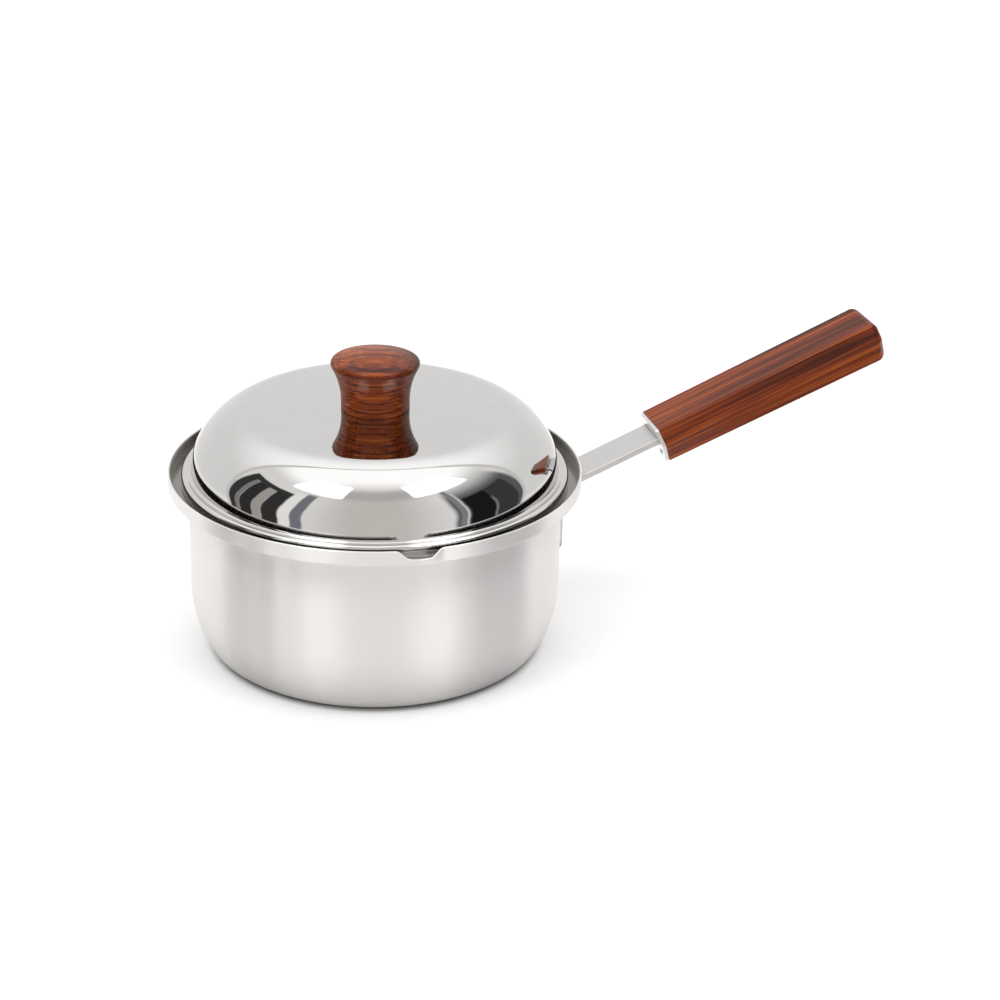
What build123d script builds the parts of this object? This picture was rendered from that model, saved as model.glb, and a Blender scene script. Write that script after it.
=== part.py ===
from build123d import *
import os
from math import acos, asin, cos, degrees, radians, sin, tan

# A small stainless milk pan with a lid, a wooden knob and a wooden grip on a flat steel bar.
# The origin is on the pan's axis, at the face that it stands on. Z is up and the handle points along X.
# Lengths are in millimetres and angles in degrees.

# Pan body: one deep-drawn sheet with a stepped rim
pan_sheet = 1.0
wall_radius = 72.3
shelf_width = 7.7
rim_height = 72.8
band_height = 6.1
corner_radius = 43.7
corner_angle = 30.4
heel_radius = 7.45
step_bend = 1.2
band_bend = 1.1

# Pouring lips: a notch in the rim band on each side, over a small pressed bulge
lip_from_handle = 91.3
lip_width = 18.0
lip_depth = 3.0
lip_side_angle = 40.0
lip_shoulder_radius = 3.2
lip_root_radius = 2.6
bulge_foot = 0.5
bulge_top = 3.2
bulge_foot_radius = 9.0
bulge_top_radius = 11.6

# Handle bar: a flat strip with a bent foot on the wall and a tang inside the grip
bar_width = 16.5
bar_thickness = 2.5
bar_tilt = 22.6
bar_bend = 9.0
bar_below_band = 3.5
bar_edge_round = 0.4
foot_length = 27.8
foot_round = 5.0
foot_sink = 0.5
weld_count = 3
weld_radius = 1.5
weld_spacing = 6.5
weld_depth = 0.25
grip_reach = 45.5
tang_width = 8.0
tang_length = 25.0
tang_socket = 12.0

# Rod welded to the tang's end, with its washer and slotted round nut in the grip's rear bore
rod_radius = 2.0
rod_weld_overlap = 6.0
washer_radius = 3.7
washer_thickness = 0.8
nut_radius = 3.5
nut_length = 5.0
nut_slot_width = 1.0
nut_slot_depth = 1.2
rod_stand_out = 0.6

# Wooden grip: six flats with softened edges, a little larger at the rear
grip_length = 97.0
grip_drop = 3.4
grip_half_width = 12.7
grip_widest_above = 1.4
grip_top_half_width = 10.1
grip_top_above = 8.1
grip_base_half_width = 8.2
grip_base_below = 7.9
grip_rear_swell = 0.65
grip_edge_round = 1.4
grip_end_round = 3.4
rear_bore_radius = 3.85
rear_bore_depth = 14.0
plug_length = 5.0

# End plate on the grip's front face, with two small round-headed pins
plate_thickness = 1.4
plate_inset = 0.35
pin_radius = 0.8
pin_length = 9.0
pin_head_radius = 1.3
pin_head_height = 0.5
pin_half_spacing = 5.2
pin_below_bar = 4.6

# Lid: one drawn sheet with a nearly flat top, a round shoulder and side, a groove, a bead and a short skirt
lid_sheet = 0.7
lid_seat_gap = 0.05
lid_top_radius = 1500.0
lid_brow_radius = 16.5
lid_brow_slope = 28.0
lid_shoulder_radius = 27.6
lid_side_radius = 15.4
lid_side_angle = 21.4
lid_wall_length = 4.0
lid_wall_tilt = 5.9
lid_foot_above_seat = 5.55
lid_groove_radius = 1.2
flange_width = 4.07
flange_gap = 4.2
flange_rise = 10.0
bead_radius = 1.55

# Knob: turned wood, flared towards a gently domed top
knob_height = 21.3
knob_top_radius = 17.1
knob_base_radius = 13.2
knob_dome_radius = 75.0
knob_edge_radius = 1.8
knob_flare_radius = 29.0
knob_foot_round = 0.2
knob_seat_gap = 0.05
knob_bore_depth = 11.5

# Knob fixings: a threaded insert in the knob, and a screw with two washers under the lid
insert_radius = 3.75
insert_length = 10.0
screw_radius = 2.0
screw_reach = 8.5
screw_head_radius = 4.0
screw_head_height = 2.6
screw_head_round = 1.0
recess_width = 0.9
recess_length = 4.4
recess_depth = 1.4
flat_washer_radius = 6.0
flat_washer_thickness = 0.8
lock_washer_radius = 3.6
lock_washer_thickness = 0.9
lock_washer_gap = 0.8

# Clearances
slot_clearance = 0.35
hole_clearance = 0.25
fixed_clearance = 0.03
cut_overrun = 2.0

# Places worked out from the sizes above
rim_radius = wall_radius + shelf_width
band_bottom = rim_height - band_height
shelf_top = band_bottom + pan_sheet
bar_start_radius = wall_radius - foot_sink
bar_corner_height = band_bottom - bar_below_band - (rim_radius - bar_start_radius) * tan(radians(bar_tilt))
foot_bottom = bar_corner_height - foot_length
flange_radius = rim_radius - pan_sheet - flange_gap
lid_seat = shelf_top + lid_seat_gap
lid_foot_height = lid_seat + lid_foot_above_seat
grip_plane = Plane(
    origin=(
        bar_start_radius + grip_reach * cos(radians(bar_tilt)),
        0,
        bar_corner_height + grip_reach * sin(radians(bar_tilt)),
    ),
    x_dir=(0, 1, 0),
    z_dir=(cos(radians(bar_tilt)), 0, sin(radians(bar_tilt))),
)


def trace(start, heading, steps, offset=0):
    """Edges of a path in the XZ plane: straight steps (length, 0) and bends (radius, turn), turns to the left
    being positive. With an offset the path is the parallel one that far to the left of the first."""
    turn_side = Vector(-sin(radians(heading)), 0, cos(radians(heading)))
    point = Vector(start[0], 0, start[1]) + turn_side * offset
    edges = []
    for size, turn in steps:
        along = Vector(cos(radians(heading)), 0, sin(radians(heading)))
        left = Vector(-sin(radians(heading)), 0, cos(radians(heading)))
        if turn == 0:
            end = point + along * size
            edges.append(Edge.make_line(point, end))
        else:
            side = 1 if turn > 0 else -1
            radius = size - side * offset
            centre = point + left * (side * radius)
            spoke = point - centre
            middle = centre + spoke.rotate(Axis.Y, -turn / 2)
            end = centre + spoke.rotate(Axis.Y, -turn)
            edges.append(Edge.make_three_point_arc(point, middle, end))
        point = end
        heading += turn
    return edges


def sheet_section(start, heading, steps, thickness):
    """Section of a sheet whose face follows the path. The sheet lies to the left of it, or to the right where
    the thickness is negative, and its free end is rounded."""
    face_side = trace(start, heading, steps)
    back_side = trace(start, heading, steps, thickness)
    near, far = face_side[-1] @ 1, back_side[-1] @ 1
    last_heading = radians(heading + sum(turn for _, turn in steps))
    nose = (near + far) / 2 + Vector(cos(last_heading), 0, sin(last_heading)) * (abs(thickness) / 2)
    ends = [
        Edge.make_line(face_side[0] @ 0, back_side[0] @ 0),
        Edge.make_three_point_arc(near, nose, far),
    ]
    return Face(Wire(face_side + back_side + ends))


def ring(outer, inner, height, thickness):
    """Flat ring round Z, from a height upwards."""
    ring_face = Circle(outer) - Circle(inner)
    return extrude(Plane.XY.offset(height) * ring_face, amount=thickness)


def rod(radius, low, high):
    """Round rod along Z between two heights."""
    return extrude(Plane.XY.offset(low) * Circle(radius), amount=high - low)


def ball_radius(rim, depth):
    """Radius of the ball whose cap has this rim radius and depth."""
    return (rim**2 + depth**2) / (2 * depth)


def slab(x_size, y_size, low, high, centre=(0, 0)):
    """Block between two heights, centred on a place in XY."""
    block = extrude(Plane.XY.offset(low) * Rectangle(x_size, y_size), amount=high - low)
    return Pos(centre[0], centre[1], 0) * block


def pan_shell():
    """The revolved sheet: flat base, two-radius corner, straight wall, step and rim band."""
    heel_angle = 90 - corner_angle
    corner_rise = corner_radius * sin(radians(corner_angle))
    corner_run = corner_radius * (1 - cos(radians(corner_angle)))
    heel_rise = heel_radius * (1 - cos(radians(heel_angle)))
    heel_run = heel_radius * sin(radians(heel_angle))
    base_length = wall_radius - corner_run - heel_run
    wall_length = band_bottom - step_bend - corner_rise - heel_rise
    shelf_length = rim_radius - wall_radius - step_bend - band_bend
    band_length = band_height - band_bend - pan_sheet / 2
    steps = [
        (base_length, 0),
        (heel_radius, heel_angle),
        (corner_radius, corner_angle),
        (wall_length, 0),
        (step_bend, -90),
        (shelf_length, 0),
        (band_bend, 90),
        (band_length, 0),
    ]
    return revolve(sheet_section((0, 0), 0, steps, pan_sheet), Axis.Z)


def lip_notch():
    """Prism that cuts one pouring notch, pointing along -Y."""
    curve_drop = (lip_shoulder_radius + lip_root_radius) * (1 - cos(radians(lip_side_angle)))
    side_length = (lip_depth - curve_drop) / sin(radians(lip_side_angle))
    curve_run = (lip_shoulder_radius + lip_root_radius) * sin(radians(lip_side_angle))
    side_run = curve_run + side_length * cos(radians(lip_side_angle))
    steps = [
        (lip_shoulder_radius, -lip_side_angle),
        (side_length, 0),
        (lip_root_radius, lip_side_angle),
        (lip_width - 2 * side_run, 0),
        (lip_root_radius, lip_side_angle),
        (side_length, 0),
        (lip_shoulder_radius, -lip_side_angle),
    ]
    edge = trace((-lip_width / 2, rim_height), 0, steps)
    above = Vector(0, 0, cut_overrun)
    left, right = edge[0] @ 0, edge[-1] @ 1
    closing = [
        Edge.make_line(right, right + above),
        Edge.make_line(right + above, left + above),
        Edge.make_line(left + above, left),
    ]
    reach = rim_radius + bulge_top + cut_overrun
    return extrude(Face(Wire(edge + closing)), amount=reach, dir=(0, -1, 0))


def lip_bulge(skin):
    """Cone of the pressed bulge under a notch, taken in by a skin thickness."""
    centre = rim_radius + bulge_foot - bulge_foot_radius
    low = band_bottom if skin == 0 else shelf_top
    slope = (bulge_top_radius - bulge_foot_radius) / band_height
    low_radius = bulge_foot_radius + slope * (low - band_bottom) - skin
    sizes = (low_radius, bulge_top_radius - skin, rim_height - low)
    return Pos(0, -centre, low) * Cone(*sizes, align=(Align.CENTER, Align.CENTER, Align.MIN))


def make_pan_body():
    """Pan shell with a pouring lip on each side, about a quarter turn from the handle."""
    inside_band = rod(rim_radius - pan_sheet / 2, 0, rim_height + cut_overrun)
    outward = lip_bulge(0) - inside_band
    one_side = Pos(0, -rim_radius, rim_height / 2) * Box(rim_radius, rim_radius, rim_height + cut_overrun)
    hollow = lip_bulge(pan_sheet) & one_side
    body = pan_shell()
    lip_turns = (90 - lip_from_handle, 90 + lip_from_handle)
    for turn in lip_turns:
        body = body + Rot(0, 0, turn) * outward
    for turn in lip_turns:
        body = body - Rot(0, 0, turn) * hollow - Rot(0, 0, turn) * lip_notch()
    return body


def make_handle_bar():
    """Strip with its foot hugging the wall, bent out under the rim, with a narrower tang."""
    turn = 90 - bar_tilt
    bend_reach = bar_bend * tan(radians(turn / 2))
    steps = [
        (bar_corner_height - bend_reach - foot_bottom, 0),
        (bar_bend, -turn),
        (grip_reach - bend_reach + tang_socket, 0),
    ]
    start = (bar_start_radius, foot_bottom)
    top_face = trace(start, 90, steps)
    under_face = trace(start, 90, steps, -bar_thickness)
    ends = [
        Edge.make_line(top_face[0] @ 0, under_face[0] @ 0),
        Edge.make_line(top_face[-1] @ 1, under_face[-1] @ 1),
    ]
    strip = extrude(Face(Wire(top_face + under_face + ends)), amount=bar_width / 2, both=True)
    foot_corners = strip.edges().filter_by(Axis.X).sort_by(Axis.Z)[:2]
    strip = fillet(foot_corners, foot_round)
    side_edges = [edge for side in strip.faces().filter_by(Axis.Y) for edge in side.edges()]
    tang_end_edges = strip.faces().sort_by(Axis.X)[-1].edges()
    strip = fillet([edge for edge in side_edges if edge not in tang_end_edges], bar_edge_round)
    strip = strip - rod(wall_radius, 0, bar_corner_height)
    dimple_radius = ball_radius(weld_radius, weld_depth)
    dimple_reach = bar_start_radius + bar_thickness - weld_depth + dimple_radius
    for index in range(weld_count):
        height = foot_bottom + foot_round + weld_spacing * index
        strip = strip - Pos(dimple_reach, 0, height) * Sphere(dimple_radius)
    middle = (0, -bar_thickness / 2)
    tang = slab(tang_width, bar_thickness, tang_socket, tang_socket + tang_length, middle)
    tang_end = tang_socket + tang_length
    cut = rod(rod_radius + fixed_clearance, tang_end - rod_weld_overlap, tang_end + cut_overrun)
    return strip + grip_plane * (tang - Pos(0, -bar_thickness / 2, 0) * cut)


def grip_outline(inset, swell=0):
    """Six-sided outline of the grip, taken in by an inset and let out by a swell."""
    out = swell - inset
    corners = [
        (grip_top_half_width + out, grip_top_above + out),
        (grip_half_width + out, grip_widest_above),
        (grip_base_half_width + out, -grip_base_below - out),
    ]
    mirrored = [(-across, above) for across, above in reversed(corners)]
    return Pos(0, -grip_drop) * make_face(Polyline(corners + mirrored, close=True))


def make_handle_grip():
    """Lofted grip with a socket for the bar, a slot for the tang, a rod bore and a rear bore."""
    rear_outline = Plane.XY.offset(grip_length) * grip_outline(0, grip_rear_swell)
    block = loft([grip_outline(0), rear_outline], ruled=True)
    ends = block.edges().filter_by(GeomType.LINE).group_by(Axis.Z)
    long_edges = [edge for edge in block.edges() if edge not in ends[0] and edge not in ends[-1]]
    block = fillet(long_edges, grip_edge_round)
    rear_edges = block.faces().sort_by(Axis.Z)[-1].edges()
    block = fillet(rear_edges, grip_end_round)
    middle = (0, -bar_thickness / 2)
    slot_height = bar_thickness + 2 * slot_clearance
    tang_end = tang_socket + tang_length
    socket = slab(bar_width + 2 * slot_clearance, slot_height, -cut_overrun, tang_socket, middle)
    slot = slab(tang_width + 2 * slot_clearance, slot_height, 0, tang_end + slot_clearance, middle)
    at_rod = Pos(0, -bar_thickness / 2, 0)
    bore = at_rod * rod(rod_radius + hole_clearance, tang_end - rod_weld_overlap, grip_length)
    rear = at_rod * rod(rear_bore_radius, grip_length - rear_bore_depth, grip_length + cut_overrun)
    block = block - socket - slot - bore - rear
    for side in (-1, 1):
        hole = rod(pin_radius, -cut_overrun, pin_length)
        block = block - Pos(side * pin_half_spacing, -bar_thickness - pin_below_bar, 0) * hole
    return grip_plane * block


def make_grip_plate():
    """Polished plate in front of the grip, with the bar's slot and two pin holes."""
    front_outline = Plane.XY.offset(-plate_thickness) * grip_outline(plate_inset)
    plate = extrude(front_outline, amount=plate_thickness - fixed_clearance)
    plate = fillet(plate.edges().filter_by(Axis.Z), grip_edge_round)
    slot = slab(
        bar_width + 2 * slot_clearance,
        bar_thickness + 2 * slot_clearance,
        -plate_thickness - cut_overrun,
        cut_overrun,
        (0, -bar_thickness / 2),
    )
    plate = plate - slot
    for side in (-1, 1):
        hole = rod(pin_radius + fixed_clearance, -plate_thickness - cut_overrun, cut_overrun)
        plate = plate - Pos(side * pin_half_spacing, -bar_thickness - pin_below_bar, 0) * hole
    return grip_plane * plate


def make_plate_pins():
    """Two round-headed pins through the plate into the wood."""
    head_low = -plate_thickness - fixed_clearance
    shank = rod(pin_radius - fixed_clearance, head_low, pin_length - fixed_clearance)
    head_ball = ball_radius(pin_head_radius, pin_head_height)
    ball = Pos(0, 0, head_low - pin_head_height + head_ball) * Sphere(head_ball)
    head = ball & rod(pin_head_radius, head_low - pin_head_height, head_low)
    pin = shank + head
    pins = [Pos(side * pin_half_spacing, -bar_thickness - pin_below_bar, 0) * pin for side in (-1, 1)]
    return grip_plane * Compound(children=[item.solid() for item in pins])


def rear_stack():
    """Distances from the grip's face to the washer's, nut's and plug's front faces."""
    washer_start = grip_length - rear_bore_depth + fixed_clearance
    nut_start = washer_start + washer_thickness + fixed_clearance
    plug_start = grip_length - plug_length
    return washer_start, nut_start, plug_start


def on_rod_axis(shape):
    """Moves a shape made round Z onto the rod's axis inside the grip."""
    return grip_plane * Pos(0, -bar_thickness / 2, 0) * shape


def make_grip_rod():
    """Threaded rod, welded in a cut-out at the tang's end, that pulls the grip onto the bar."""
    start = tang_socket + tang_length - rod_weld_overlap + fixed_clearance
    end = rear_stack()[1] + nut_length + rod_stand_out
    return on_rod_axis(rod(rod_radius, start, end))


def make_grip_washer():
    """Washer on the floor of the rear bore."""
    return on_rod_axis(ring(washer_radius, rod_radius + hole_clearance, rear_stack()[0], washer_thickness))


def make_grip_nut():
    """Slotted round nut on the rod."""
    start = rear_stack()[1]
    body = ring(nut_radius, rod_radius + fixed_clearance, start, nut_length)
    end = start + nut_length
    slot = slab(2 * nut_radius + cut_overrun, nut_slot_width, end - nut_slot_depth, end + cut_overrun)
    return on_rod_axis(body - slot)


def make_grip_plug():
    """Wooden plug that closes the rear bore, flush with the grip's end."""
    return on_rod_axis(rod(rear_bore_radius - fixed_clearance, rear_stack()[2], grip_length))


def lid_brow_centre():
    """Radius and height of the brow arc's centre, worked out up the side from its foot."""
    tilt = radians(lid_wall_tilt)
    meeting = radians(lid_wall_tilt + lid_side_angle)
    radius = flange_radius - flange_width - lid_wall_length * sin(tilt) - lid_side_radius * cos(tilt)
    height = lid_foot_height + lid_wall_length * cos(tilt) - lid_side_radius * sin(tilt)
    shoulder_change = lid_shoulder_radius - lid_side_radius
    brow_change = lid_shoulder_radius - lid_brow_radius
    radius += brow_change * sin(radians(lid_brow_slope)) - shoulder_change * cos(meeting)
    height += brow_change * cos(radians(lid_brow_slope)) - shoulder_change * sin(meeting)
    return radius, height


def lid_top_tilt():
    """Slope at the outer edge of the lid's top, where the brow begins."""
    return degrees(asin(lid_brow_centre()[0] / (lid_top_radius - lid_brow_radius)))


def lid_top_height():
    """Height of the lid's outer face on the axis."""
    crown_depth = (lid_top_radius - lid_brow_radius) * cos(radians(lid_top_tilt()))
    return lid_brow_centre()[1] - crown_depth + lid_top_radius


def make_lid_shell():
    """Revolved lid sheet, with the screw hole on its axis."""
    tilt, rise = radians(lid_wall_tilt), radians(flange_rise)
    groove_run = lid_groove_radius * (cos(tilt) + sin(rise))
    groove_drop = lid_groove_radius * (cos(rise) - sin(tilt))
    bead_run = bead_radius * (1 + sin(rise))
    flat_length = (flange_width - groove_run - bead_run) / cos(rise)
    bead_centre = lid_foot_height - groove_drop + flat_length * sin(rise) - bead_radius * cos(rise)
    steps = [
        (lid_top_radius, -lid_top_tilt()),
        (lid_brow_radius, lid_top_tilt() - lid_brow_slope),
        (lid_shoulder_radius, lid_wall_tilt + lid_side_angle + lid_brow_slope - 90),
        (lid_side_radius, -lid_side_angle),
        (lid_wall_length, 0),
        (lid_groove_radius, 90 - lid_wall_tilt + flange_rise),
        (flat_length, 0),
        (bead_radius, -90 - flange_rise),
        (bead_centre - lid_seat - lid_sheet / 2, 0),
    ]
    section = sheet_section((0, lid_top_height()), 0, steps, -lid_sheet)
    hole = rod(screw_radius + hole_clearance, lid_seat, lid_top_height() + cut_overrun)
    return revolve(section, Axis.Z) - hole


def knob_base_height():
    """Height of the knob's foot, just clear of the lid's top."""
    return lid_top_height() + knob_seat_gap


def make_lid_knob():
    """Turned knob: domed top, rounded edge, hollow flare, straight foot, and a bore for the insert."""
    flare = degrees(acos(1 - (knob_top_radius - knob_base_radius) / (knob_edge_radius + knob_flare_radius)))
    dome = degrees(asin((knob_top_radius - knob_edge_radius) / (knob_dome_radius - knob_edge_radius)))
    dome_drop = knob_dome_radius - (knob_dome_radius - knob_edge_radius) * cos(radians(dome))
    flare_drop = (knob_edge_radius + knob_flare_radius) * sin(radians(flare))
    top = knob_base_height() + knob_height
    steps = [
        (knob_dome_radius, -dome),
        (knob_edge_radius, dome - 90 - flare),
        (knob_flare_radius, flare),
        (knob_height - dome_drop - flare_drop - knob_foot_round, 0),
        (knob_foot_round, -90),
        (knob_base_radius - knob_foot_round, 0),
        (knob_height, -90),
    ]
    outline = trace((0, top), 0, steps[:-1])
    axis_line = Edge.make_line(outline[-1] @ 1, outline[0] @ 0)
    knob = revolve(Face(Wire(outline + [axis_line])), Axis.Z)
    bore = rod(insert_radius, knob_base_height() - cut_overrun, knob_base_height() + knob_bore_depth)
    return knob - bore


def make_knob_insert():
    """Threaded insert pressed into the knob's bore."""
    start = knob_base_height() + fixed_clearance
    return ring(insert_radius - fixed_clearance, screw_radius + fixed_clearance, start, insert_length)


def washer_heights():
    """Undersides of the flat washer, of the lock washer and of the screw head."""
    flat_low = lid_top_height() - lid_sheet - fixed_clearance - flat_washer_thickness
    lock_low = flat_low - fixed_clearance - lock_washer_thickness
    head_low = lock_low - fixed_clearance - screw_head_height
    return flat_low, lock_low, head_low


def make_knob_flat_washer():
    """Flat washer under the lid."""
    return ring(flat_washer_radius, screw_radius + hole_clearance, washer_heights()[0], flat_washer_thickness)


def make_knob_lock_washer():
    """Split lock washer between the flat washer and the screw head."""
    height = washer_heights()[1]
    top = height + lock_washer_thickness
    washer = ring(lock_washer_radius, screw_radius + hole_clearance, height, lock_washer_thickness)
    return washer - slab(2 * lock_washer_radius, lock_washer_gap, height, top, (lock_washer_radius, 0))


def make_knob_screw():
    """Screw with a rounded head and a crossed recess, seen from under the lid."""
    low = washer_heights()[2]
    head = rod(screw_head_radius, low, low + screw_head_height)
    head = fillet(head.edges().group_by(Axis.Z)[0], screw_head_round)
    shank = rod(screw_radius, low, knob_base_height() + screw_reach)
    screw = head + shank
    slot = slab(recess_length, recess_width, low - cut_overrun, low + recess_depth)
    for turn in (0, 90):
        screw = screw - Rot(0, 0, turn) * slot
    return screw


PARTS = {
    "pan_body": make_pan_body,
    "handle_bar": make_handle_bar,
    "handle_grip": make_handle_grip,
    "grip_plate": make_grip_plate,
    "grip_plate_pins": make_plate_pins,
    "grip_rod": make_grip_rod,
    "grip_washer": make_grip_washer,
    "grip_nut": make_grip_nut,
    "grip_plug": make_grip_plug,
    "lid_shell": make_lid_shell,
    "lid_knob": make_lid_knob,
    "knob_insert": make_knob_insert,
    "knob_flat_washer": make_knob_flat_washer,
    "knob_lock_washer": make_knob_lock_washer,
    "knob_screw": make_knob_screw,
}

os.makedirs("parts", exist_ok=True)
for name, make in PARTS.items():
    export_step(make(), f"parts/{name}.step")
    print(name)
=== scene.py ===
from math import acos, asin, ceil, copysign, cos, degrees, radians, sin

import bpy
from mathutils import Matrix, Vector


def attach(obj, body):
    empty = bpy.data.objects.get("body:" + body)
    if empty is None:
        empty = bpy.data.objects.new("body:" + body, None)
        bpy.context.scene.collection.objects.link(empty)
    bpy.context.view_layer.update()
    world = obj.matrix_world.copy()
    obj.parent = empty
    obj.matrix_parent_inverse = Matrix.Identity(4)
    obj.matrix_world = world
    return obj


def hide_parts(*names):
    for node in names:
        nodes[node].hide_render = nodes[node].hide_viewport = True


# The look of the milk pan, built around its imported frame. The object's sizes are in millimetres, as in the
# construction, and reach Blender through MM. Everything else is in metres. Angles are in degrees.
MM = 0.001

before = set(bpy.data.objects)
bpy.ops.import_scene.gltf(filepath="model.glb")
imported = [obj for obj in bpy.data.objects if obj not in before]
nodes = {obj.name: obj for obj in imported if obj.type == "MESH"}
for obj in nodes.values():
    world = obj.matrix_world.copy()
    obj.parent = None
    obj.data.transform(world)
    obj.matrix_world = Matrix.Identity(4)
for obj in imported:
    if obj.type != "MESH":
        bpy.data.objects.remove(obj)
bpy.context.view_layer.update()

# Sizes of the pan body
PAN_SHEET = 1.0
WALL_RADIUS = 72.3
RIM_RADIUS = 80.0
RIM_HEIGHT = 72.8
BAND_HEIGHT = 6.1
CORNER_RADIUS = 43.7
CORNER_ANGLE = 30.4
HEEL_RADIUS = 7.45
STEP_BEND = 1.2
BAND_BEND = 1.1
BAND_BOTTOM = RIM_HEIGHT - BAND_HEIGHT
SHELF_TOP = BAND_BOTTOM + PAN_SHEET

# Sizes of the pouring lips
LIP_FROM_HANDLE = 91.3
LIP_WIDTH = 18.0
LIP_DEPTH = 3.0
LIP_SIDE_ANGLE = 40.0
LIP_SHOULDER_RADIUS = 3.2
LIP_ROOT_RADIUS = 2.6
LIP_FOOT_LEAN = 0.4
LIP_TOP_LEAN = 3.1
LIP_LEAN_WIDTH = 20.0

# Sizes of the lid
LID_SHEET = 0.7
LID_SEAT_GAP = 0.05
LID_SEAT = SHELF_TOP + LID_SEAT_GAP
LID_TOP_RADIUS = 1500.0
LID_BROW_RADIUS = 16.5
LID_BROW_SLOPE = 28.0
LID_SHOULDER_RADIUS = 27.6
LID_SIDE_RADIUS = 15.4
LID_SIDE_ANGLE = 21.4
LID_WALL_LENGTH = 4.0
LID_WALL_TILT = 5.9
LID_FOOT_ABOVE_SEAT = 5.55
LID_FOOT_HEIGHT = LID_SEAT + LID_FOOT_ABOVE_SEAT
LID_GROOVE_RADIUS = 1.2
FLANGE_WIDTH = 4.07
FLANGE_RADIUS = 74.8
FLANGE_RISE = 10.0
BEAD_RADIUS = 1.55
LID_HOLE_RADIUS = 2.25

# Sizes of the knob
KNOB_HEIGHT = 21.3
KNOB_TOP_RADIUS = 17.1
KNOB_BASE_RADIUS = 13.2
KNOB_DOME_RADIUS = 75.0
KNOB_EDGE_RADIUS = 1.8
KNOB_FLARE_RADIUS = 29.0
KNOB_FOOT_ROUND = 0.2
KNOB_SEAT_GAP = 0.05
KNOB_BORE_RADIUS = 3.75
KNOB_BORE_DEPTH = 11.5

# How fine the turned meshes are: degrees in a bend, chord, guard beside a bend, and degrees round the axis
BEND_STEP = 3.0
LONGEST_CHORD = 1.5
EDGE_GUARD = 0.15
ROUND_STEP = 1.0
LIP_STEP = 0.25
KNOB_STEP = 2.0
TINY = 1e-6

# The handle's slope
BAR_TILT = 22.6


def trace(start, heading, steps, offset=0.0):
    """Points (radius, height) along straight steps (length, 0) and bends (radius, turn).

    Turns to the left are positive. With an offset the points lie that far to the left of the path. Straight
    steps get a point close to each end, which keeps the shading of a bend off the straight beside it."""
    heading = radians(heading)
    x = start[0] - sin(heading) * offset
    z = start[1] + cos(heading) * offset
    points = [(x, z)]
    for size, turn in steps:
        if turn == 0:
            guard = min(EDGE_GUARD, size / 3)
            for run in (guard, size - guard, size):
                points.append((x + cos(heading) * run, z + sin(heading) * run))
        else:
            side = copysign(1, turn)
            radius = size - side * offset
            centre_x, centre_z = x - sin(heading) * side * radius, z + cos(heading) * side * radius
            chord_count = radius * radians(abs(turn)) / LONGEST_CHORD
            count = ceil(max(2, abs(turn) / BEND_STEP, chord_count))
            for index in range(1, count + 1):
                angle = heading + radians(turn) * index / count
                points.append((centre_x + sin(angle) * side * radius, centre_z - cos(angle) * side * radius))
            heading += radians(turn)
        x, z = points[-1]
    return points


def sheet_outline(start, heading, steps, thickness):
    """Outline of a sheet whose face follows the path, with its free end rounded and its start left open."""
    face_side = trace(start, heading, steps)
    back_side = trace(start, heading, steps, thickness)
    last_heading = heading + sum(turn for _, turn in steps)
    nose = trace(face_side[-1], last_heading, [(abs(thickness) / 2, copysign(180, thickness))])
    return face_side + nose[1:-1] + back_side[::-1]


def even_angles(step):
    """Angles round the axis, a step apart."""
    count = round(360 / step)
    return [360 * index / count for index in range(count)]


def lathe(name, outline, angles, warp=None, inner_start=None):
    """Mesh turned round Z from points (radius, height).

    Points on the axis become poles, and an outline that doesn't reach the axis is closed on itself. A warp
    moves each (radius, height, angle) to a new radius and height. Faces from the outline's point inner_start
    onwards get the second material."""
    on_axis = [radius < TINY for radius, _ in outline]
    vertices, rings = [], []
    for (radius, height), pole in zip(outline, on_axis):
        if pole:
            rings.append([len(vertices)] * len(angles))
            vertices.append((0, 0, height * MM))
            continue
        rings.append(list(range(len(vertices), len(vertices) + len(angles))))
        for angle in angles:
            r, z = warp(radius, height, angle) if warp else (radius, height)
            vertices.append((r * cos(radians(angle)) * MM, r * sin(radians(angle)) * MM, z * MM))
    pairs = list(zip(rings, rings[1:]))
    if not on_axis[0]:
        pairs.append((rings[-1], rings[0]))
    faces = []
    for lower, upper in pairs:
        for index in range(len(angles)):
            following = (index + 1) % len(angles)
            corners = [lower[index], lower[following], upper[following], upper[index]]
            faces.append(list(dict.fromkeys(corners)))
    mesh = bpy.data.meshes.new(name)
    mesh.from_pydata(vertices, [], faces)
    mesh.polygons.foreach_set("use_smooth", [True] * len(mesh.polygons))
    if inner_start is not None:
        slots = [int(index // len(angles) >= inner_start) for index in range(len(faces))]
        mesh.polygons.foreach_set("material_index", slots)
    mesh.update()
    piece = bpy.data.objects.new(name, mesh)
    bpy.context.scene.collection.objects.link(piece)
    return piece


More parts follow.
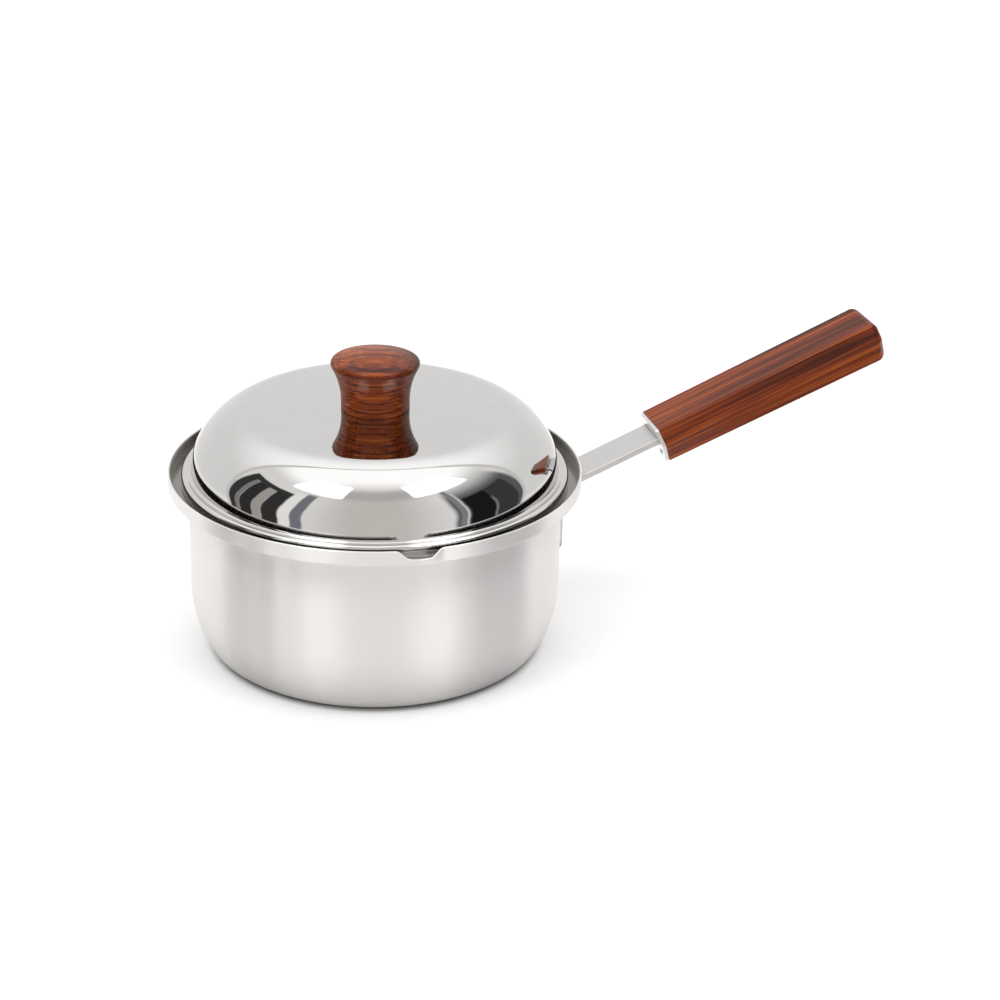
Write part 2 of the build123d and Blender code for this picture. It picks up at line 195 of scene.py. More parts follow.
def pan_outline():
    """Outline of the pan's sheet, from the base's centre outside to the base's centre inside."""
    heel_angle = 90 - CORNER_ANGLE
    corner_rise = CORNER_RADIUS * sin(radians(CORNER_ANGLE))
    corner_run = CORNER_RADIUS * (1 - cos(radians(CORNER_ANGLE)))
    heel_rise = HEEL_RADIUS * (1 - cos(radians(heel_angle)))
    heel_run = HEEL_RADIUS * sin(radians(heel_angle))
    steps = [
        (WALL_RADIUS - corner_run - heel_run, 0),
        (HEEL_RADIUS, heel_angle),
        (CORNER_RADIUS, CORNER_ANGLE),
        (BAND_BOTTOM - STEP_BEND - corner_rise - heel_rise, 0),
        (STEP_BEND, -90),
        (RIM_RADIUS - WALL_RADIUS - STEP_BEND - BAND_BEND, 0),
        (BAND_BEND, 90),
        (BAND_HEIGHT - BAND_BEND - PAN_SHEET / 2, 0),
    ]
    return sheet_outline((0, 0), 0, steps, PAN_SHEET)


def lip_edge():
    """Points (sideways, drop) along half of a notch's edge, from its middle outwards."""
    both_radii = LIP_SHOULDER_RADIUS + LIP_ROOT_RADIUS
    curve_drop = both_radii * (1 - cos(radians(LIP_SIDE_ANGLE)))
    side_length = (LIP_DEPTH - curve_drop) / sin(radians(LIP_SIDE_ANGLE))
    side_run = both_radii * sin(radians(LIP_SIDE_ANGLE)) + side_length * cos(radians(LIP_SIDE_ANGLE))
    steps = [
        (LIP_WIDTH / 2 - side_run, 0),
        (LIP_ROOT_RADIUS, LIP_SIDE_ANGLE),
        (side_length, 0),
        (LIP_SHOULDER_RADIUS, -LIP_SIDE_ANGLE),
    ]
    return [(sideways, -height) for sideways, height in trace((0, -LIP_DEPTH), 0, steps)]


LIP_EDGE = lip_edge()


def lip_drop(sideways):
    """How far the rim lies below its full height at a distance from a notch's middle."""
    for (near, near_drop), (far, far_drop) in zip(LIP_EDGE, LIP_EDGE[1:]):
        if near <= sideways <= far:
            return near_drop + (far_drop - near_drop) * (sideways - near) / max(far - near, TINY)
    return 0.0


def smooth(share):
    """Share from 0 to 1 with a level start and end."""
    share = min(1.0, max(0.0, share))
    return share * share * (3 - 2 * share)


def lip_warp(radius, height, angle):
    """Lowers the rim band along the notches and leans it outwards there."""
    if height < BAND_BOTTOM - PAN_SHEET or radius < RIM_RADIUS - PAN_SHEET - BAND_BEND:
        return radius, height
    nearest = min(abs((angle - lip + 180) % 360 - 180) for lip in (LIP_FROM_HANDLE, -LIP_FROM_HANDLE))
    sideways = RIM_RADIUS * sin(radians(min(nearest, 90)))
    straight_low, straight_high = BAND_BOTTOM + BAND_BEND, RIM_HEIGHT - PAN_SHEET / 2
    share = min(1.0, max(0.0, (height - straight_low) / (straight_high - straight_low)))
    new_height = height - lip_drop(sideways) * share
    lean = LIP_FOOT_LEAN + (LIP_TOP_LEAN - LIP_FOOT_LEAN) * max(0.0, new_height - BAND_BOTTOM) / BAND_HEIGHT
    reach = smooth(1 - sideways / (LIP_LEAN_WIDTH / 2))
    start = smooth((radius - (RIM_RADIUS - PAN_SHEET - BAND_BEND)) / BAND_BEND)
    return radius + lean * reach * start, new_height


def pan_angles():
    """Angles for the pan, finer across the lips."""
    half_lip = degrees(asin(LIP_LEAN_WIDTH / 2 / RIM_RADIUS)) + ROUND_STEP
    angles = even_angles(ROUND_STEP)
    for lip in (LIP_FROM_HANDLE, 360 - LIP_FROM_HANDLE):
        angles = [angle for angle in angles if abs(angle - lip) > half_lip]
        count = round(2 * half_lip / LIP_STEP)
        angles += [lip - half_lip + 2 * half_lip * index / count for index in range(count + 1)]
    return sorted(angles)


def lid_steps():
    """Steps of the lid's outer face from the axis outwards, and its height on the axis."""
    tilt, rise, brow = (radians(angle) for angle in (LID_WALL_TILT, FLANGE_RISE, LID_BROW_SLOPE))
    meeting = radians(LID_WALL_TILT + LID_SIDE_ANGLE)
    side_radius = FLANGE_RADIUS - FLANGE_WIDTH - LID_WALL_LENGTH * sin(tilt) - LID_SIDE_RADIUS * cos(tilt)
    side_height = LID_FOOT_HEIGHT + LID_WALL_LENGTH * cos(tilt) - LID_SIDE_RADIUS * sin(tilt)
    shoulder_change = LID_SHOULDER_RADIUS - LID_SIDE_RADIUS
    brow_change = LID_SHOULDER_RADIUS - LID_BROW_RADIUS
    brow_radius = side_radius - shoulder_change * cos(meeting) + brow_change * sin(brow)
    brow_height = side_height - shoulder_change * sin(meeting) + brow_change * cos(brow)
    slope = asin(brow_radius / (LID_TOP_RADIUS - LID_BROW_RADIUS))
    height = brow_height - (LID_TOP_RADIUS - LID_BROW_RADIUS) * cos(slope) + LID_TOP_RADIUS
    groove_run = LID_GROOVE_RADIUS * (cos(tilt) + sin(rise))
    groove_drop = LID_GROOVE_RADIUS * (cos(rise) - sin(tilt))
    flat_length = (FLANGE_WIDTH - groove_run - BEAD_RADIUS * (1 + sin(rise))) / cos(rise)
    bead_centre = LID_FOOT_HEIGHT - groove_drop + flat_length * sin(rise) - BEAD_RADIUS * cos(rise)
    steps = [
        (LID_TOP_RADIUS, -degrees(slope)),
        (LID_BROW_RADIUS, degrees(slope) - LID_BROW_SLOPE),
        (LID_SHOULDER_RADIUS, LID_WALL_TILT + LID_SIDE_ANGLE + LID_BROW_SLOPE - 90),
        (LID_SIDE_RADIUS, -LID_SIDE_ANGLE),
        (LID_WALL_LENGTH, 0),
        (LID_GROOVE_RADIUS, 90 - LID_WALL_TILT + FLANGE_RISE),
        (flat_length, 0),
        (BEAD_RADIUS, -90 - FLANGE_RISE),
        (bead_centre - LID_SEAT - LID_SHEET / 2, 0),
    ]
    return steps, height


LID_STEPS, LID_TOP = lid_steps()


def lid_outline():
    """Closed outline of the lid's sheet, round its screw hole."""
    outline = sheet_outline((0, LID_TOP), 0, LID_STEPS, -LID_SHEET)
    outer = [(radius, height) for radius, height in outline if radius > LID_HOLE_RADIUS]
    return [(LID_HOLE_RADIUS, LID_TOP)] + outer + [(LID_HOLE_RADIUS, LID_TOP - LID_SHEET)]


def knob_outline():
    """Outline of the knob, from the top of its dome round to the top of its bore."""
    base = LID_TOP + KNOB_SEAT_GAP
    flare = degrees(acos(1 - (KNOB_TOP_RADIUS - KNOB_BASE_RADIUS) / (KNOB_EDGE_RADIUS + KNOB_FLARE_RADIUS)))
    dome = degrees(asin((KNOB_TOP_RADIUS - KNOB_EDGE_RADIUS) / (KNOB_DOME_RADIUS - KNOB_EDGE_RADIUS)))
    dome_drop = KNOB_DOME_RADIUS - (KNOB_DOME_RADIUS - KNOB_EDGE_RADIUS) * cos(radians(dome))
    flare_drop = (KNOB_EDGE_RADIUS + KNOB_FLARE_RADIUS) * sin(radians(flare))
    steps = [
        (KNOB_DOME_RADIUS, -dome),
        (KNOB_EDGE_RADIUS, dome - 90 - flare),
        (KNOB_FLARE_RADIUS, flare),
        (KNOB_HEIGHT - dome_drop - flare_drop - KNOB_FOOT_ROUND, 0),
        (KNOB_FOOT_ROUND, -90),
        (KNOB_BASE_RADIUS - KNOB_FOOT_ROUND - KNOB_BORE_RADIUS, 0),
    ]
    bore_top = base + KNOB_BORE_DEPTH
    return trace((0, base + KNOB_HEIGHT), 0, steps) + [(KNOB_BORE_RADIUS, bore_top), (0, bore_top)]


class Graph:
    """A material's or the world's nodes, with short calls to make and join them."""

    def __init__(self, tree):
        tree.nodes.clear()
        self.tree = tree

    def node(self, kind, inputs=None, **settings):
        made = self.tree.nodes.new("ShaderNode" + kind)
        for name, value in settings.items():
            setattr(made, name, value)
        for name, value in (inputs or {}).items():
            socket = made.inputs[name]
            if isinstance(value, bpy.types.NodeSocket):
                self.tree.links.new(value, socket)
            else:
                socket.default_value = value
        return made

    def math(self, operation, first, second=0.0, clamp=False):
        made = self.node("Math", {0: first, 1: second}, operation=operation, use_clamp=clamp)
        return made.outputs[0]

    def scaled(self, value, factor):
        return self.math("MULTIPLY", value, factor)

    def spread(self, pattern, low, span):
        """low where the pattern is 0, and span more where it is 1."""
        return self.math("ADD", self.scaled(pattern, span), low)

    def step(self, value, low, high):
        """0 below low, 1 above high and smooth between them."""
        inputs = {"Value": value, "From Min": low, "From Max": high}
        return self.node("MapRange", inputs, interpolation_type="SMOOTHSTEP").outputs["Result"]

    def band(self, value, low, high, soft):
        """1 from low to high and 0 outside, with edges as soft as asked."""
        risen = self.step(value, low - soft / 2, low + soft / 2)
        sunk = self.step(value, high - soft / 2, high + soft / 2)
        return self.math("SUBTRACT", risen, sunk, clamp=True)

    def ramp(self, value, stops):
        made = self.node("ValToRGB", {"Fac": value})
        elements = made.color_ramp.elements
        while len(elements) < len(stops):
            elements.new(0.5)
        for element, (place, colour) in zip(elements, stops):
            element.position = place
            element.color = (*colour, 1)
        return made.outputs["Color"]

    def mix(self, share, first, second):
        return self.node("Mix", {0: share, 6: first, 7: second}, data_type="RGBA").outputs[2]

    def whole(self):
        """Object coordinates, which are the part's own."""
        return self.node("TexCoord").outputs["Object"]

    def split(self, vector):
        return self.node("SeparateXYZ", {0: vector}).outputs

    def length(self, vector):
        return self.node("VectorMath", {0: vector}, operation="LENGTH").outputs["Value"]

    def along(self, vector, axis):
        """How far a vector reaches along an axis."""
        return self.node("VectorMath", {0: vector, 1: axis}, operation="DOT_PRODUCT").outputs["Value"]

    def place(self, scale=(1, 1, 1), rotation=(0, 0, 0), offset=(0, 0, 0)):
        """Object coordinates, turned and scaled."""
        turned = self.node("Mapping", {"Vector": self.whole(), "Rotation": rotation}).outputs[0]
        return self.node("Mapping", {"Vector": turned, "Scale": scale, "Location": offset}).outputs[0]

    def noise(self, where, scale, detail=2.0, roughness=0.5, distortion=0.0):
        inputs = {"Vector": where, "Scale": scale, "Detail": detail, "Roughness": roughness}
        return self.node("TexNoise", {**inputs, "Distortion": distortion}).outputs["Fac"]

    def bump(self, height, strength, distance):
        return self.node("Bump", {"Height": height, "Strength": strength, "Distance": distance}).outputs[0]

    def blend(self, share, first, second):
        """Shader that goes from the first to the second one."""
        return self.node("MixShader", {0: share, 1: first.outputs[0], 2: second.outputs[0]})

    def surface(self, shader):
        self.node("OutputMaterial", {"Surface": shader.outputs[0]})

    def principled(self, colour, roughness, normal, more):
        """The material's one shader, joined to its output."""
        inputs = {"Base Color": colour, "Roughness": roughness, "Normal": normal, **more}
        self.surface(self.node("BsdfPrincipled", inputs))


def material(name):
    """A new material and its graph."""
    made = bpy.data.materials.new(name)
    made.use_nodes = True
    return made, Graph(made.node_tree)


# Detail and roughness of the fine lines in the metals, and what every metal but the satin steel has
LINE_DETAIL = 3.0
LINE_ROUGHNESS = 0.6
METAL = {"Metallic": 1.0}

# Each metal has two colours, its roughness (lowest, spread) and its bump (strength, depth in metres). Lines
# round the axis have their scales by angle and per metre across.
SATIN_COLOURS = ((0.94, 0.925, 0.915, 1), (0.88, 0.865, 0.855, 1))
SATIN_LINES = (6.0, 9000.0)
SATIN_LINE_COLOUR = 0.5
SATIN_LINE_SHEEN = 0.10
SATIN_CLOUD_SCALE = 35.0
SATIN_CLOUD_SHEEN = 0.05
SATIN_ROUGHNESS = 0.38
SATIN_BUMP = (0.05, 0.00002)
SATIN_METAL = {"Metallic": 0.62, "Anisotropic": 1.0, "Anisotropic Rotation": 0.25}

INNER_COLOURS = ((0.58, 0.57, 0.56, 1), (0.50, 0.49, 0.48, 1))
# The rim's inner step is darkened with these colours, a painted shade
PAINTED_STEP_SHADE_COLOURS = ((0.29, 0.27, 0.25, 1), (0.21, 0.195, 0.18, 1))
INNER_LINES = (5.0, 7000.0)
INNER_ROUGHNESS = (0.14, 0.10)
INNER_BUMP = (0.05, 0.00002)

# In metres: heights between which the painted shade in the rim's step starts and ends, and how far from each
# lip's middle it begins
RIM_STEP_HEIGHTS = (0.062, 0.068)
RIM_EDGE_HEIGHTS = (0.0706, 0.0720)
LIP_SIDES = (0.006, 0.011)

BAR_COLOURS = ((0.60, 0.59, 0.585, 1), (0.52, 0.51, 0.505, 1))
BAR_LINE_SCALES = (40, 5000, 5000)
BAR_LINE_COLOUR = 0.6
BAR_ROUGHNESS = (0.26, 0.12)
BAR_BUMP = (0.06, 0.00003)

POLISHED_COLOURS = ((0.64, 0.63, 0.62, 1), (0.60, 0.59, 0.58, 1))
POLISHED_WAVE_SCALE = 22.0
POLISHED_WIPES = (70.0, 4.0, 0.5, 0.8)
POLISHED_WIPE_SCALES = (1, 1, 3)
POLISHED_ROUGHNESS = (0.02, 0.03)
POLISHED_BUMP = (0.05, 0.0004)

PLAIN_COLOURS = ((0.62, 0.62, 0.61, 1), (0.72, 0.72, 0.71, 1))
PLAIN_GRAIN_SCALE = 900.0
PLAIN_ROUGHNESS = (0.18, 0.15)
PLAIN_BUMP = (0.08, 0.00005)

BRASS_COLOURS = ((0.62, 0.42, 0.16, 1), (0.75, 0.55, 0.24, 1))
BRASS_LINES = (3.0, 12000.0)
BRASS_ROUGHNESS = (0.22, 0.15)
BRASS_BUMP = (0.1, 0.00003)

# Wood: each noise has its scale along the grain and its detail, roughness and distortion. Bands and streaks
# have their scales across the grain from the piece, streaks so many times finer.
WOOD_BANDS = (5, (3.0, 0.6, 0.5))
WOOD_STREAKS = (12, (4.0, 0.7, 0.3))
WOOD_FIBRES = ((60, 2600, 2600), (2.0, 0.6))
WOOD_STREAK_FINENESS = 4
WOOD_BAND_SHARE = 0.6
WOOD_STREAK_SHARE = 0.4
WOOD_TONES = (
    (0.38, (0.035, 0.006, 0.002)),
    (0.45, (0.115, 0.018, 0.004)),
    (0.52, (0.240, 0.042, 0.006)),
    (0.61, (0.440, 0.105, 0.016)),
)
WOOD_VEINS = (0.34, 0.44)
WOOD_VEIN_COLOUR = (0.03, 0.008, 0.004, 1)
WOOD_VEIN_SHARE = 0.65
WOOD_FIBRE_COLOUR = (0.08, 0.02, 0.01, 1)
WOOD_FIBRE_SHARE = 0.35
WOOD_ROUGHNESS = (0.34, 0.2)
WOOD_BUMP = (0.12, 0.00008)
WOOD_POLISH = {"Specular IOR Level": 0.05, "Coat Weight": 0.3, "Coat Roughness": 0.12}
# Painted shade on the side towards +X: where it starts and ends in metres, and its colour
SHADED_SIDE_PLACES = (0.001, 0.017)
SHADED_SIDE_COLOUR = (0.030, 0.009, 0.006, 1)


def turned_lines(graph, along, across):
    """Noise in fine lines round the Z axis: long by the angle, thin by radius and height."""
    place = graph.split(graph.whole())
    flat = graph.node("CombineXYZ", {"X": place["X"], "Y": place["Y"]}).outputs[0]
    lines = graph.node(
        "CombineXYZ",
        {
            "X": graph.scaled(graph.math("ARCTAN2", place["Y"], place["X"]), along),
            "Y": graph.scaled(graph.length(flat), across),
            "Z": graph.scaled(place["Z"], across),
        },
    )
    return graph.noise(lines.outputs[0], 1.0, LINE_DETAIL, LINE_ROUGHNESS)


def satin_steel():
    """Finely brushed stainless steel, brushed round the pan's axis."""
    made, graph = material("satin_steel")
    lines = turned_lines(graph, *SATIN_LINES)
    cloud = graph.noise(graph.place(), SATIN_CLOUD_SCALE, LINE_DETAIL)
    sheen = graph.math("ADD", graph.scaled(lines, SATIN_LINE_SHEEN), graph.scaled(cloud, SATIN_CLOUD_SHEEN))
    graph.principled(
        graph.mix(graph.scaled(lines, SATIN_LINE_COLOUR), *SATIN_COLOURS),
        graph.math("ADD", sheen, SATIN_ROUGHNESS),
        graph.bump(lines, *SATIN_BUMP),
        {**SATIN_METAL, "Tangent": graph.node("Tangent", direction_type="RADIAL", axis="Z").outputs[0]},
    )
    return made


def inner_steel():
    """Smoother steel inside the pan, with painted shade darkening the rim's step."""
    made, graph = material("inner_steel")
    lines = turned_lines(graph, *INNER_LINES)
    place = graph.split(graph.whole())
    beside_lips = graph.step(graph.math("ABSOLUTE", place["X"]), *LIP_SIDES)
    below_edge = graph.math("SUBTRACT", 1.0, graph.step(place["Z"], *RIM_EDGE_HEIGHTS))
    # Painted shade: the rim's step below its top edge is darkened, except beside the lips
    shade = graph.scaled(graph.step(place["Z"], *RIM_STEP_HEIGHTS), beside_lips)
    shade = graph.scaled(shade, below_edge)
    graph.principled(
        graph.mix(shade, graph.mix(lines, *INNER_COLOURS), graph.mix(lines, *PAINTED_STEP_SHADE_COLOURS)),
        graph.spread(lines, *INNER_ROUGHNESS),
        graph.bump(lines, *INNER_BUMP),
        METAL,
    )
    return made


def bar_steel():
    """Satin stainless steel of the flat bar, brushed along its length."""
    made, graph = material("bar_steel")
    where = graph.place(BAR_LINE_SCALES, (0, radians(BAR_TILT), 0))
    lines = graph.noise(where, 1.0, LINE_DETAIL, LINE_ROUGHNESS)
    graph.principled(
        graph.mix(graph.scaled(lines, BAR_LINE_COLOUR), *BAR_COLOURS),
        graph.spread(lines, *BAR_ROUGHNESS),
        graph.bump(lines, *BAR_BUMP),
        METAL,
    )
    return made


def polished_steel():
    """Mirror-polished stainless steel with the faintest waviness and wipe marks."""
    made, graph = material("polished_steel")
    waves = graph.noise(graph.place(), POLISHED_WAVE_SCALE, 1.0)
    wipes = graph.noise(graph.place(POLISHED_WIPE_SCALES), *POLISHED_WIPES)
    graph.principled(
        graph.mix(wipes, *POLISHED_COLOURS),
        graph.spread(wipes, *POLISHED_ROUGHNESS),
        graph.bump(waves, *POLISHED_BUMP),
        METAL,
    )
    return made


def plain_steel():
    """Bright plated steel of the plate, screws and washers."""
    made, graph = material("plain_steel")
    grains = graph.noise(graph.place(), PLAIN_GRAIN_SCALE, LINE_DETAIL)
    graph.principled(
        graph.mix(grains, *PLAIN_COLOURS),
        graph.spread(grains, *PLAIN_ROUGHNESS),
        graph.bump(grains, *PLAIN_BUMP),
        METAL,
    )
    return made


def turned_brass():
    """Brass of the knob's insert, with turning marks."""
    made, graph = material("turned_brass")
    lines = turned_lines(graph, *BRASS_LINES)
    graph.principled(
        graph.mix(lines, *BRASS_COLOURS),
        graph.spread(lines, *BRASS_ROUGHNESS),
        graph.bump(lines, *BRASS_BUMP),
        METAL,
    )
    return made


def wood(name, rotation, offset, across, shaded_side=0.0):
    """Polished red-brown hardwood, its grain along X after the rotation, with scales across it for Y and Z.

    The last argument is how far the side towards +X darkens with painted shade."""
    made, graph = material(name)
    finer = tuple(WOOD_STREAK_FINENESS * scale for scale in across)
    bands = graph.noise(graph.place((WOOD_BANDS[0], *across), rotation, offset), 1.0, *WOOD_BANDS[1])
    streaks = graph.noise(graph.place((WOOD_STREAKS[0], *finer), rotation, offset), 1.0, *WOOD_STREAKS[1])
    fibres = graph.noise(graph.place(WOOD_FIBRES[0], rotation, offset), 1.0, *WOOD_FIBRES[1])
    tone = graph.math("ADD", graph.scaled(bands, WOOD_BAND_SHARE), graph.scaled(streaks, WOOD_STREAK_SHARE))
    veins = graph.math("SUBTRACT", 1.0, graph.step(streaks, *WOOD_VEINS))
    colour = graph.mix(graph.scaled(veins, WOOD_VEIN_SHARE), graph.ramp(tone, WOOD_TONES), WOOD_VEIN_COLOUR)
    colour = graph.mix(graph.scaled(fibres, WOOD_FIBRE_SHARE), colour, WOOD_FIBRE_COLOUR)
    # Painted shade: the side towards +X is darkened
    if shaded_side:
        darker = graph.scaled(graph.step(graph.split(graph.whole())["X"], *SHADED_SIDE_PLACES), shaded_side)
        colour = graph.mix(darker, colour, SHADED_SIDE_COLOUR)
    graph.principled(
        colour,
        graph.spread(fibres, *WOOD_ROUGHNESS),
        graph.bump(graph.math("ADD", streaks, fibres), *WOOD_BUMP),
        WOOD_POLISH,
    )
    return made


def dress(piece, look, inner_look=None):
    """Gives a piece its material, and a second one for its inner faces."""
    mesh = piece.data
    slots = [face.material_index for face in mesh.polygons]
    mesh.materials.clear()
    mesh.materials.append(look)
    if inner_look:
        mesh.materials.append(inner_look)
        mesh.polygons.foreach_set("material_index", slots)


# Pieces turned in fine meshes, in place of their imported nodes
pan_points = pan_outline()
rim_point = max(range(len(pan_points)), key=lambda index: pan_points[index][1])
pan = lathe("pan_shell", pan_points, pan_angles(), lip_warp, rim_point)
lid = lathe("lid_dome", lid_outline(), even_angles(ROUND_STEP))
knob = lathe("turned_knob", knob_outline(), even_angles(KNOB_STEP))
for piece, node, body in ((pan, "pan_body", "pan"), (lid, "lid_shell", "lid"), (knob, "lid_knob", "lid")):
    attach(piece, body)
    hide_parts(node)

# Camera, placed as the photograph's: its azimuth is counted from +Y towards +X
CAMERA_PLACE = Vector((-0.2054, -0.8928, 0.4609))
CAMERA_AZIMUTH = 15.994
CAMERA_PITCH = 23.704
CAMERA_ROLL = 1.179
CAMERA_LENS = 92.325
WHITE = (1, 1, 1, 1)


def make_camera():
    """Camera at the photograph's viewing angle."""
    azimuth, pitch, roll = radians(CAMERA_AZIMUTH), radians(CAMERA_PITCH), radians(CAMERA_ROLL)
    forward = Vector((sin(azimuth) * cos(pitch), cos(azimuth) * cos(pitch), -sin(pitch)))
    level = Vector((cos(azimuth), -sin(azimuth), 0))
    upright = level.cross(forward)
    right = level * cos(roll) + upright * sin(roll)
    up = upright * cos(roll) - level * sin(roll)
    camera = bpy.data.objects.new("camera", bpy.data.cameras.new("camera"))
    camera.data.lens = CAMERA_LENS
    turned = Matrix((right, up, -forward)).transposed().to_4x4()
    camera.matrix_world = Matrix.Translation(CAMERA_PLACE) @ turned
    bpy.context.scene.collection.objects.link(camera)
    bpy.context.scene.camera = camera


# Studio seen from the pan. Azimuths run from the camera's side towards the view's left, and each patch has
# its azimuths and elevations, with how soft their edges are, and its light. Later patches cover earlier ones.
CAMERA_OFF_AXIS = 3.0
CAMERA_SIDE = CAMERA_AZIMUTH - CAMERA_OFF_AXIS + 180.0
WALL_FRONT = (0.78, 0.745, 0.71, 1)
WALL_SIDE = (1.02, 1.01, 1.0, 1)
WALL_TURN = (12.0, 50.0)
CEILING = (1.6, 1.6, 1.6, 1)
CEILING_FRONT = (58.0, 84.0)
CEILING_SIDE = (50.0, 64.0)
CEILING_TURN = (25.0, 60.0)
SOFTBOX = (6.0, 6.0, 6.0)
PATCHES = (
    ((-40, 34, 14), (50, 64, 9), (0.64, 0.62, 0.60)),
    ((-104, -50, 5), (-90, 44, 22), (0.14, 0.14, 0.145)),
    ((-97, -79, 2.5), (-60, 33, 2.5), (0.055, 0.055, 0.06)),
    ((-79, -60, 2.5), (-90, 33, 2.5), (0.014, 0.014, 0.016)),
    ((-80, -78, 1.5), (-90, 20, 8), (0.26, 0.25, 0.24)),
    ((-59, -57, 1.5), (-90, 44, 2), (0.80, 0.79, 0.78)),
    ((-57, -53, 2), (-90, 50, 2), (0.30, 0.30, 0.31)),
    ((45, 53, 2), (-90, 47, 5), (0.24, 0.25, 0.28)),
    ((53, 61, 1.5), (-90, 45, 5), (1.15, 1.14, 1.13)),
    ((61, 73, 2), (-90, 41, 2.5), (0.045, 0.043, 0.042)),
    ((73, 80, 1.5), (-90, 36, 2.5), (0.50, 0.46, 0.43)),
    ((80, 90, 1.5), (-90, 38, 2.5), (0.040, 0.039, 0.039)),
    ((90, 93, 1), (-90, 36, 2.5), (0.30, 0.28, 0.27)),
    ((93, 101, 2), (-90, 41, 2.5), (0.05, 0.05, 0.05)),
    ((62, 101, 1.5), (36, 41, 1.5), (0.05, 0.05, 0.05)),
    ((-86, -33, 5), (52, 68, 5), SOFTBOX),
    ((28, 72, 5), (51, 68, 5), SOFTBOX),
)

# White sheet behind the pan: its middle (azimuth from +Y towards +X, elevation), the elevations between which
# it brightens upwards and downwards, and where its edge lies, as cosines of the angle from its middle
BACK_AXIS = (12.0, -5.0)
BACK_SHEET = (0.97, 0.965, 0.96, 1)
BACK_BRIGHT = (1.5, 1.5, 1.5, 1)
BACK_RISE = (22.0, 66.0)
BACK_FALL = (-26.0, -8.0)
BACK_RIM = (0.80, 0.79, 0.78, 1)
BACK_RIM_WIDTH = (0.20, 0.24)
BACK_EDGE = (0.165, 0.185)

# Floor, in metres from the pan's axis: where reflections lose it, and where the painted shade round the pan's
# foot ends, as seen in the steel and as seen by the camera
FLOOR_HALF_SIZE = 8.0
REFLECTED_FLOOR = (0.14, 0.22)
BASE_SHADE = (0.058, 0.115)
CONTACT_SHADE = (0.0605, 0.0675)
SHADED_PAPER = (0.10, 0.10, 0.10, 1)
MIRRORED_PAPER = (0.95, 0.95, 0.95, 1)
SEEN_PAPER = (0.86, 0.86, 0.86, 1)
LIT_PAPER = (0.8, 0.8, 0.8, 1)
PAPER_GLOW = 0.12


def level_direction(azimuth):
    return (sin(radians(azimuth)), cos(radians(azimuth)), 0)


def make_world():
    """Grey studio under a white ceiling, with two dark openings and two soft boxes, unseen by the camera."""
    world = bpy.data.worlds.new("studio")
    world.use_nodes = True
    bpy.context.scene.world = world
    graph = Graph(world.node_tree)
    direction = graph.node("TexCoord").outputs["Generated"]
    ahead = graph.along(direction, level_direction(CAMERA_SIDE))
    leftwards = graph.along(direction, level_direction(CAMERA_SIDE + 90))
    azimuth = graph.scaled(graph.math("ARCTAN2", leftwards, ahead), degrees(1))
    elevation = graph.scaled(graph.math("ARCSINE", graph.split(direction)["Z"]), degrees(1))
    aside = graph.math("ABSOLUTE", azimuth)
    light = graph.mix(graph.step(aside, *WALL_TURN), WALL_FRONT, WALL_SIDE)
    overhead = graph.step(elevation, *CEILING_FRONT)
    sideways = graph.step(elevation, *CEILING_SIDE)
    light = graph.mix(graph.mix(graph.step(aside, *CEILING_TURN), overhead, sideways), light, CEILING)
    for azimuths, elevations, colour in PATCHES:
        inside = graph.scaled(graph.band(azimuth, *azimuths), graph.band(elevation, *elevations))
        light = graph.mix(inside, light, (*colour, 1))
    back_azimuth, back_elevation = BACK_AXIS
    level_x, level_y, _ = level_direction(back_azimuth)
    level_reach = cos(radians(back_elevation))
    to_back = (level_x * level_reach, level_y * level_reach, sin(radians(back_elevation)))
    backwards = graph.along(direction, to_back)
    sheet = graph.mix(graph.step(elevation, *BACK_RISE), BACK_SHEET, BACK_BRIGHT)
    sheet = graph.mix(graph.step(elevation, *BACK_FALL), BACK_BRIGHT, sheet)
    sheet = graph.mix(graph.step(backwards, *BACK_RIM_WIDTH), BACK_RIM, sheet)
    light = graph.mix(graph.step(backwards, *BACK_EDGE), light, sheet)
    seen = graph.node("Background", {"Color": WHITE, "Strength": 1.0})
    lit = graph.node("Background", {"Color": light, "Strength": 1.0})
    both = graph.blend(graph.node("LightPath").outputs["Is Camera Ray"], lit, seen)
    graph.node("OutputWorld", {"Surface": both.outputs[0]})


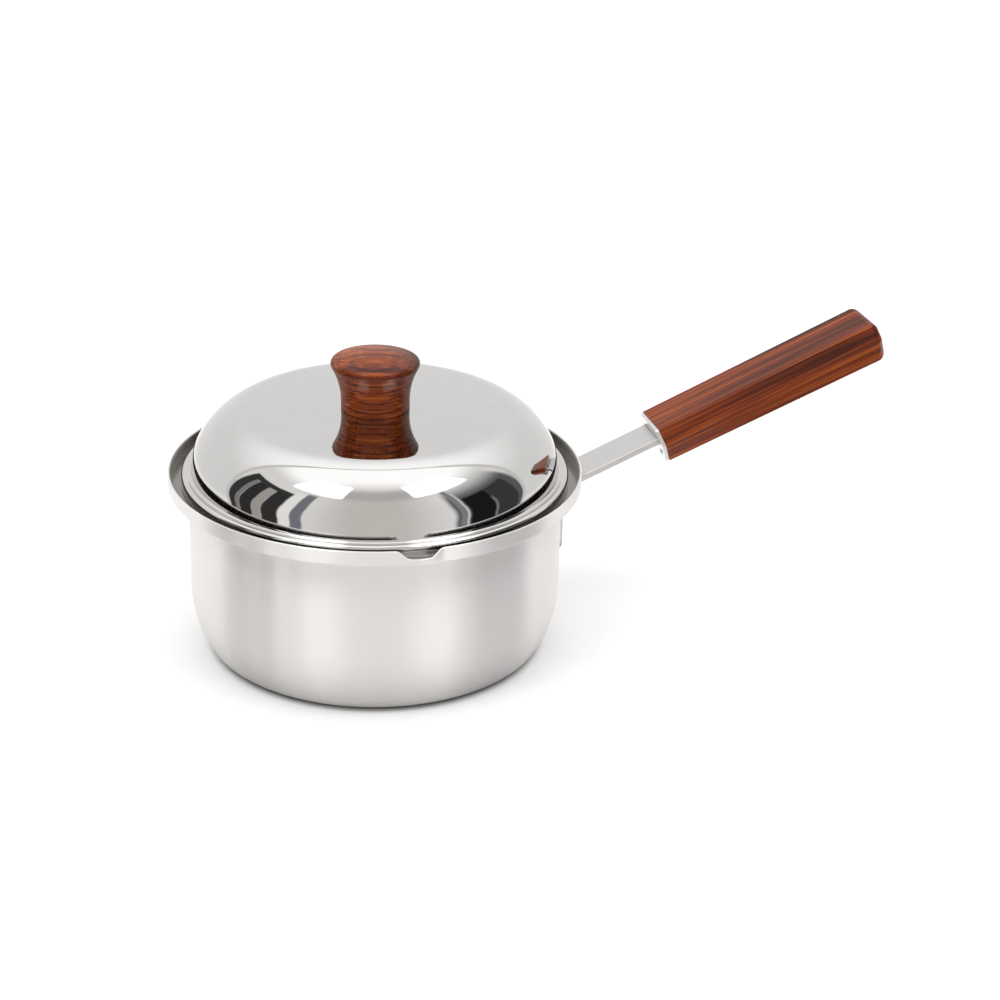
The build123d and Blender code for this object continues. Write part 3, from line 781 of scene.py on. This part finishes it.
def make_floor():
    """Pale floor that keeps the pan's shadow and runs out to white, with painted shade round the pan's foot.
    Reflections show it near the pan only.
    """
    corners = [(x * FLOOR_HALF_SIZE, y * FLOOR_HALF_SIZE, 0) for x, y in ((-1, -1), (1, -1), (1, 1), (-1, 1))]
    mesh = bpy.data.meshes.new("floor")
    mesh.from_pydata(corners, [], [(0, 1, 2, 3)])
    floor = bpy.data.objects.new("floor", mesh)
    bpy.context.scene.collection.objects.link(floor)
    made, graph = material("floor_paper")
    ray = graph.node("LightPath").outputs
    distance = graph.length(graph.whole())
    lit = graph.node("BsdfDiffuse", {"Color": LIT_PAPER})
    # Painted shade on the floor round the pan's foot, as the steel sees it
    shade = graph.mix(graph.step(distance, *BASE_SHADE), SHADED_PAPER, MIRRORED_PAPER)
    mirrored = graph.node("BsdfDiffuse", {"Color": shade})
    clear = graph.node("BsdfTransparent", {"Color": WHITE})
    faded = graph.blend(graph.step(distance, *REFLECTED_FLOOR), mirrored, clear)
    # Painted shade on the floor round the pan's foot, as the camera sees it
    contact = graph.step(distance, *CONTACT_SHADE)
    paper = graph.node("BsdfDiffuse", {"Color": graph.mix(contact, SHADED_PAPER, SEEN_PAPER)})
    glow = graph.node("Emission", {"Color": WHITE, "Strength": graph.scaled(contact, PAPER_GLOW)})
    seen = graph.node("AddShader", {0: paper.outputs[0], 1: glow.outputs[0]})
    unseen = graph.blend(ray["Is Glossy Ray"], lit, faded)
    graph.surface(graph.blend(ray["Is Camera Ray"], unseen, seen))
    mesh.materials.append(made)


make_camera()
make_world()
make_floor()
bpy.context.scene.view_settings.view_transform = "Standard"

# The grip's grain runs along the bar, and the knob's lies level, across the view. Each has its rotation, its
# place in the pattern and its scales across the grain.
GRIP_GRAIN = ((0, radians(BAR_TILT), 0), (0.3, 0.7, 0.2), (260, 260))
KNOB_GRAIN = ((0, 0, radians(16.0)), (1.3, 0.2, 0.9), (190, 900))
# How far the knob's side towards +X is darkened with painted shade
KNOB_SHADED_SIDE = 0.75
plain = plain_steel()
grip_wood = wood("grip_wood", *GRIP_GRAIN)
dress(pan, satin_steel(), inner_steel())
dress(lid, polished_steel())
dress(knob, wood("knob_wood", *KNOB_GRAIN, KNOB_SHADED_SIDE))
dress(nodes["handle_bar"], bar_steel())
dress(nodes["handle_grip"], grip_wood)
dress(nodes["grip_plug"], grip_wood)
dress(nodes["grip_plate"], plain)
dress(nodes["knob_insert"], turned_brass())
for name in (
    "grip_plate_pins",
    "grip_rod",
    "grip_washer",
    "grip_nut",
    "knob_flat_washer",
    "knob_lock_washer",
    "knob_screw",
):
    dress(nodes[name], plain)

# Flat faces stay flat in their shading, between the rounded edges: the largest faces alone set the normals
LARGE_FACES_ONLY = 100
for name in ("handle_grip", "handle_bar", "grip_plate"):
    evened = nodes[name].modifiers.new("even_normals", "WEIGHTED_NORMAL")
    evened.weight = LARGE_FACES_ONLY
